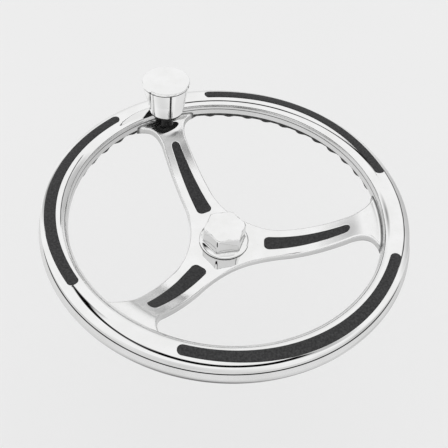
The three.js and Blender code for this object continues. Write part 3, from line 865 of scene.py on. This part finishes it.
def hub_boss():
    """The keyed boss behind the plate, with its tapered bore."""
    low, high = (corner[2] for corner in box_mm("hub_boss"))
    outer = box_mm("hub_boss")[1][0]
    seat = HUB_TOP - PLATE - 0.3
    bore_high = BORE_RADIUS - (high - low) / 24
    outside = rounded(
        [(BORE_RADIUS + 0.6, low), (outer, low, 1.2), (outer, seat, 0.5), (19, seat, 0.2), (19, high, 0.5),
         (bore_high + 0.4, high)],
        closed=False,
    )
    bore = np.array([(bore_high, high - 0.4), (BORE_RADIUS, low + 0.6)])
    profile = np.concatenate([outside, bore])
    inner = profile[:, 0] < KEY_REACH
    keyed = np.degrees(math.asin(KEY_HALF / BORE_RADIUS))
    corners = [-keyed, keyed, -keyed - 0.01, keyed + 0.01]
    angles = np.radians(np.unique(np.concatenate([np.arange(-180, 180, 2.0), corners])))
    rows = []
    for angle in angles:
        x, y = profile[:, 0] * math.cos(angle), profile[:, 0] * math.sin(angle)
        if abs(math.degrees(angle)) <= keyed + 0.001:
            x = np.where(inner, KEY_REACH, x)
            y = np.where(inner, KEY_HALF * math.degrees(angle) / keyed, y)
        rows.append(np.stack([x, y, profile[:, 1]], 1))
    faces = grid_faces(len(rows), len(profile), True, True)
    piece = make_object("hub_keyed_boss", np.concatenate(rows), faces, MACHINED, 30)
    return finish_piece(piece, "wheel", "machined_stainless", "hub_boss")


# ---- knob: radii from its own axis ----
def turned_piece(name, node, profile, material, slot, body="wheel", steps=160):
    return finish_piece(turned(name, profile, material, steps), body, slot, node)


def knob():
    """Shell and cap turn together on the bolt; the trumpet below them stays with the spoke."""
    shell = rounded(
        [(10, 4.0), (20.3, 4.0, 1.4), (23.45, 22.0, 60), (27.15, 41.0, 0.5), (27.2, 42.0, 0.1), (24.2, 42.0, 0.2),
         (20.6, 22.0, 30), (17.6, 9.0, 2), (11, 9, 0.5), (11, 29.1, 0.2), (7.3, 29.1, 0.2), (7.3, 5.4, 0.1),
         (10, 5.4, 0.1)]
    )
    turned_piece("knob_shell", "knob_body", shell, KNOB_STEEL, "polished_stainless", "knob", 220)
    cap = rounded(
        [(0, 40.4), (22.8, 40.4, 0.4), (23.4, 42.1, 0.1), (27.8, 42.1, 0.7), (27.8, KNOB_HEIGHT, 1.3),
         (20, KNOB_HEIGHT, 0), (0, KNOB_HEIGHT)],
        closed=False,
    )
    turned_piece("knob_top_cap", "knob_cap", cap, KNOB_STEEL, "polished_stainless", "knob", 220)
    trumpet = rounded(
        [(5.3, -18.0), (7.6, -18.0), (7.6, -9.0, 8), (10.0, -2.8, 6), (18.0, 1.2, 5), (19.3, 1.6, 0.4),
         (19.3, 3.4, 0.4), (5.3, 3.4)]
    )
    turned_piece("knob_trumpet_base", "knob_base", trumpet, ACETAL, "acetal")
    bolt = rounded(
        [(3.0, -30.2, 0.2), (4.6, -31.2, 0.2), (6.3, -31.1, 1.5), (8.0, -29.2, 1.6), (8.0, -26.3, 0.3),
         (5.0, -26.3), (5.0, 31.0, 0.3), (4.0, 31.0), (4.0, 40.0, 0.5), (0, 40.0), (0, -28.6), (3.0, -28.6, 0.2)]
    )
    turned_piece("knob_pivot_bolt", "knob_bolt", bolt, MACHINED, "machined_stainless", steps=96)


# ---- assemble ----
rim_cap()
rim_base()
spider()
for index in range(SPOKES):
    rim_insert(index)
    finger_grip(index)
    spoke_insert(index)
cap_nut()
hub_boss()
knob()
KEPT = {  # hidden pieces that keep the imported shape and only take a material
    "hub_washer": MACHINED,
    "cap_nut_gasket": GASKET,
    "knob_bush_lower": ACETAL,
    "knob_bush_upper": ACETAL,
    "knob_washer": MACHINED,
    "knob_locknut": MACHINED,
}
for node, material in KEPT.items():
    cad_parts[node].data.materials.clear()
    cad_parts[node].data.materials.append(material)


# ---- floor, and the studio that the polished metal mirrors ----
FLOOR_HALF, FLOOR_LEVEL = 30.0, -0.45  # metres; low enough for the wheel to cast no distinct shadow
WHITE = 0.935
BACKDROP = 0.85

# (degrees above the horizon, brightness) of the tent: its floor, then its walls and roof with the dark gap
# between them on the helmsman's side, the same with a narrower gap, and the side behind the wheel
LOW_STOPS = [(-90, 0.22), (-80, 0.28), (-68, 0.70), (-60, 0.90), (-20, WHITE)]
FRONT_STOPS = LOW_STOPS + [(54.8, WHITE), (56.2, 0.0), (64.4, 0.0), (65.8, WHITE), (90, WHITE)]
NARROW_STOPS = LOW_STOPS + [(57.0, WHITE), (58.0, 0.0), (62.0, 0.0), (63.0, WHITE), (90, WHITE)]
BACK_STOPS = [(-90, 0.22), (-76, 0.4), (-60, 0.85), (-40, 0.74), (-12, 0.70), (0, 0.8), (20, WHITE), (90, WHITE)]
GAP_AXIS = (0.073, 0.119, 0.990)  # the gap is level about this axis, which leans a little

# soft grey screens in the tent: azimuth, height, radius of the core and of the edge in degrees, grey
SCREENS = [(342, 53, 2, 15, 0.55), (136, 20, 2, 13, 0.36), (40, 14, 12, 24, 0.62)]
SCREENS += [(38 + 3.5 * i, 40 - 3.1 * i, 2, 3.6, 0.12) for i in range(7)]


def make_floor():
    mesh = bpy.data.meshes.new("floor")
    corners = [(x * FLOOR_HALF, y * FLOOR_HALF, FLOOR_LEVEL) for x, y in ((-1, -1), (1, -1), (1, 1), (-1, 1))]
    mesh.from_pydata(corners, [], [(0, 1, 2, 3)])
    material, tree, shader, place = new_material("floor_paper")
    colour = mixed_colour(tree, noise(tree, place, 2), plain_grey(0.845), plain_grey(0.85))
    tree.links.new(colour, shader.inputs["Base Color"])
    shader.inputs["Roughness"].default_value = 0.9
    shader.inputs["Specular IOR Level"].default_value = 0
    mesh.materials.append(material)
    floor = bpy.data.objects.new("floor", mesh)
    scene.collection.objects.link(floor)
    floor.visible_glossy = False


def tent_ramp(tree, sine, stops):
    """Brightness by height, from the sine of the height above the horizon."""
    height = math_node(tree, "MULTIPLY_ADD", math_node(tree, "ARCSINE", sine), 1 / math.pi, 0.5)
    return grey_ramp(tree, height, [((degrees + 90) / 180, grey) for degrees, grey in stops])


def toward(tree, bearing, degrees, low, high):
    """From 0 to 1 as the cosine of the angle between a bearing and a direction goes from low to high."""
    cosine = math_node(tree, "COSINE", math_node(tree, "SUBTRACT", bearing, math.radians(degrees)))
    return mapped(tree, cosine, 0, 1, low, high)


def blended(tree, share, first, second):
    node = tree.nodes.new("ShaderNodeMix")
    node.data_type = "RGBA"
    tree.links.new(share, node.inputs["Factor"])
    tree.links.new(first, node.inputs[6])
    tree.links.new(second, node.inputs[7])
    return node.outputs[2]


def screened(tree, direction, shade, screen):
    """The shade with one soft screen in front of it."""
    azimuth, height, core, edge, grey = screen
    across, up = polar(1, math.radians(height))
    x, y = polar(across, math.radians(azimuth))
    apart = math_node(tree, "ARCCOSINE", vector_node(tree, "DOT_PRODUCT", direction, (x, y, up)))
    return multiplied(tree, shade, mapped(tree, apart, grey, 1, math.radians(core), math.radians(edge)))


def background(tree, colour=None):
    node = tree.nodes.new("ShaderNodeBackground")
    if colour:
        node.inputs["Color"].default_value = (*colour, 1)
    return node


def chosen(tree, share, first, second):
    node = tree.nodes.new("ShaderNodeMixShader")
    for socket, value in zip(node.inputs, (share, first, second)):
        tree.links.new(value, socket)
    return node.outputs["Shader"]


def make_world():
    """A white tent with a dark gap between its roof and its front wall; only reflections see the gap."""
    world = bpy.data.worlds.new("studio")
    world.use_nodes = True
    tree = world.node_tree
    tree.nodes.clear()
    direction = tree.nodes.new("ShaderNodeTexCoord").outputs["Generated"]
    axes = tree.nodes.new("ShaderNodeSeparateXYZ")
    tree.links.new(direction, axes.inputs[0])
    bearing = math_node(tree, "ARCTAN2", axes.outputs["Y"], axes.outputs["X"])
    leaning = vector_node(tree, "DOT_PRODUCT", direction, GAP_AXIS)
    wide, narrow = (tent_ramp(tree, leaning, stops) for stops in (FRONT_STOPS, NARROW_STOPS))
    front = blended(tree, toward(tree, bearing, 165, 0.6, 0.95), wide, narrow)
    back = tent_ramp(tree, axes.outputs["Z"], BACK_STOPS)
    shade = blended(tree, toward(tree, bearing, 50, 0.24, 0.36), front, back)
    for screen in SCREENS:
        shade = screened(tree, direction, shade, screen)
    rays = tree.nodes.new("ShaderNodeLightPath")
    light, tent = background(tree, plain_grey(1)), background(tree)
    tree.links.new(shade, tent.inputs["Color"])
    lit = chosen(tree, rays.outputs["Is Glossy Ray"], light.outputs[0], tent.outputs[0])
    backdrop = background(tree, plain_grey(BACKDROP))
    surface = chosen(tree, rays.outputs["Is Camera Ray"], lit, backdrop.outputs[0])
    output = tree.nodes.new("ShaderNodeOutputWorld")
    tree.links.new(surface, output.inputs["Surface"])
    scene.world = world
    scene.view_settings.view_transform = "Standard"


make_floor()
make_world()
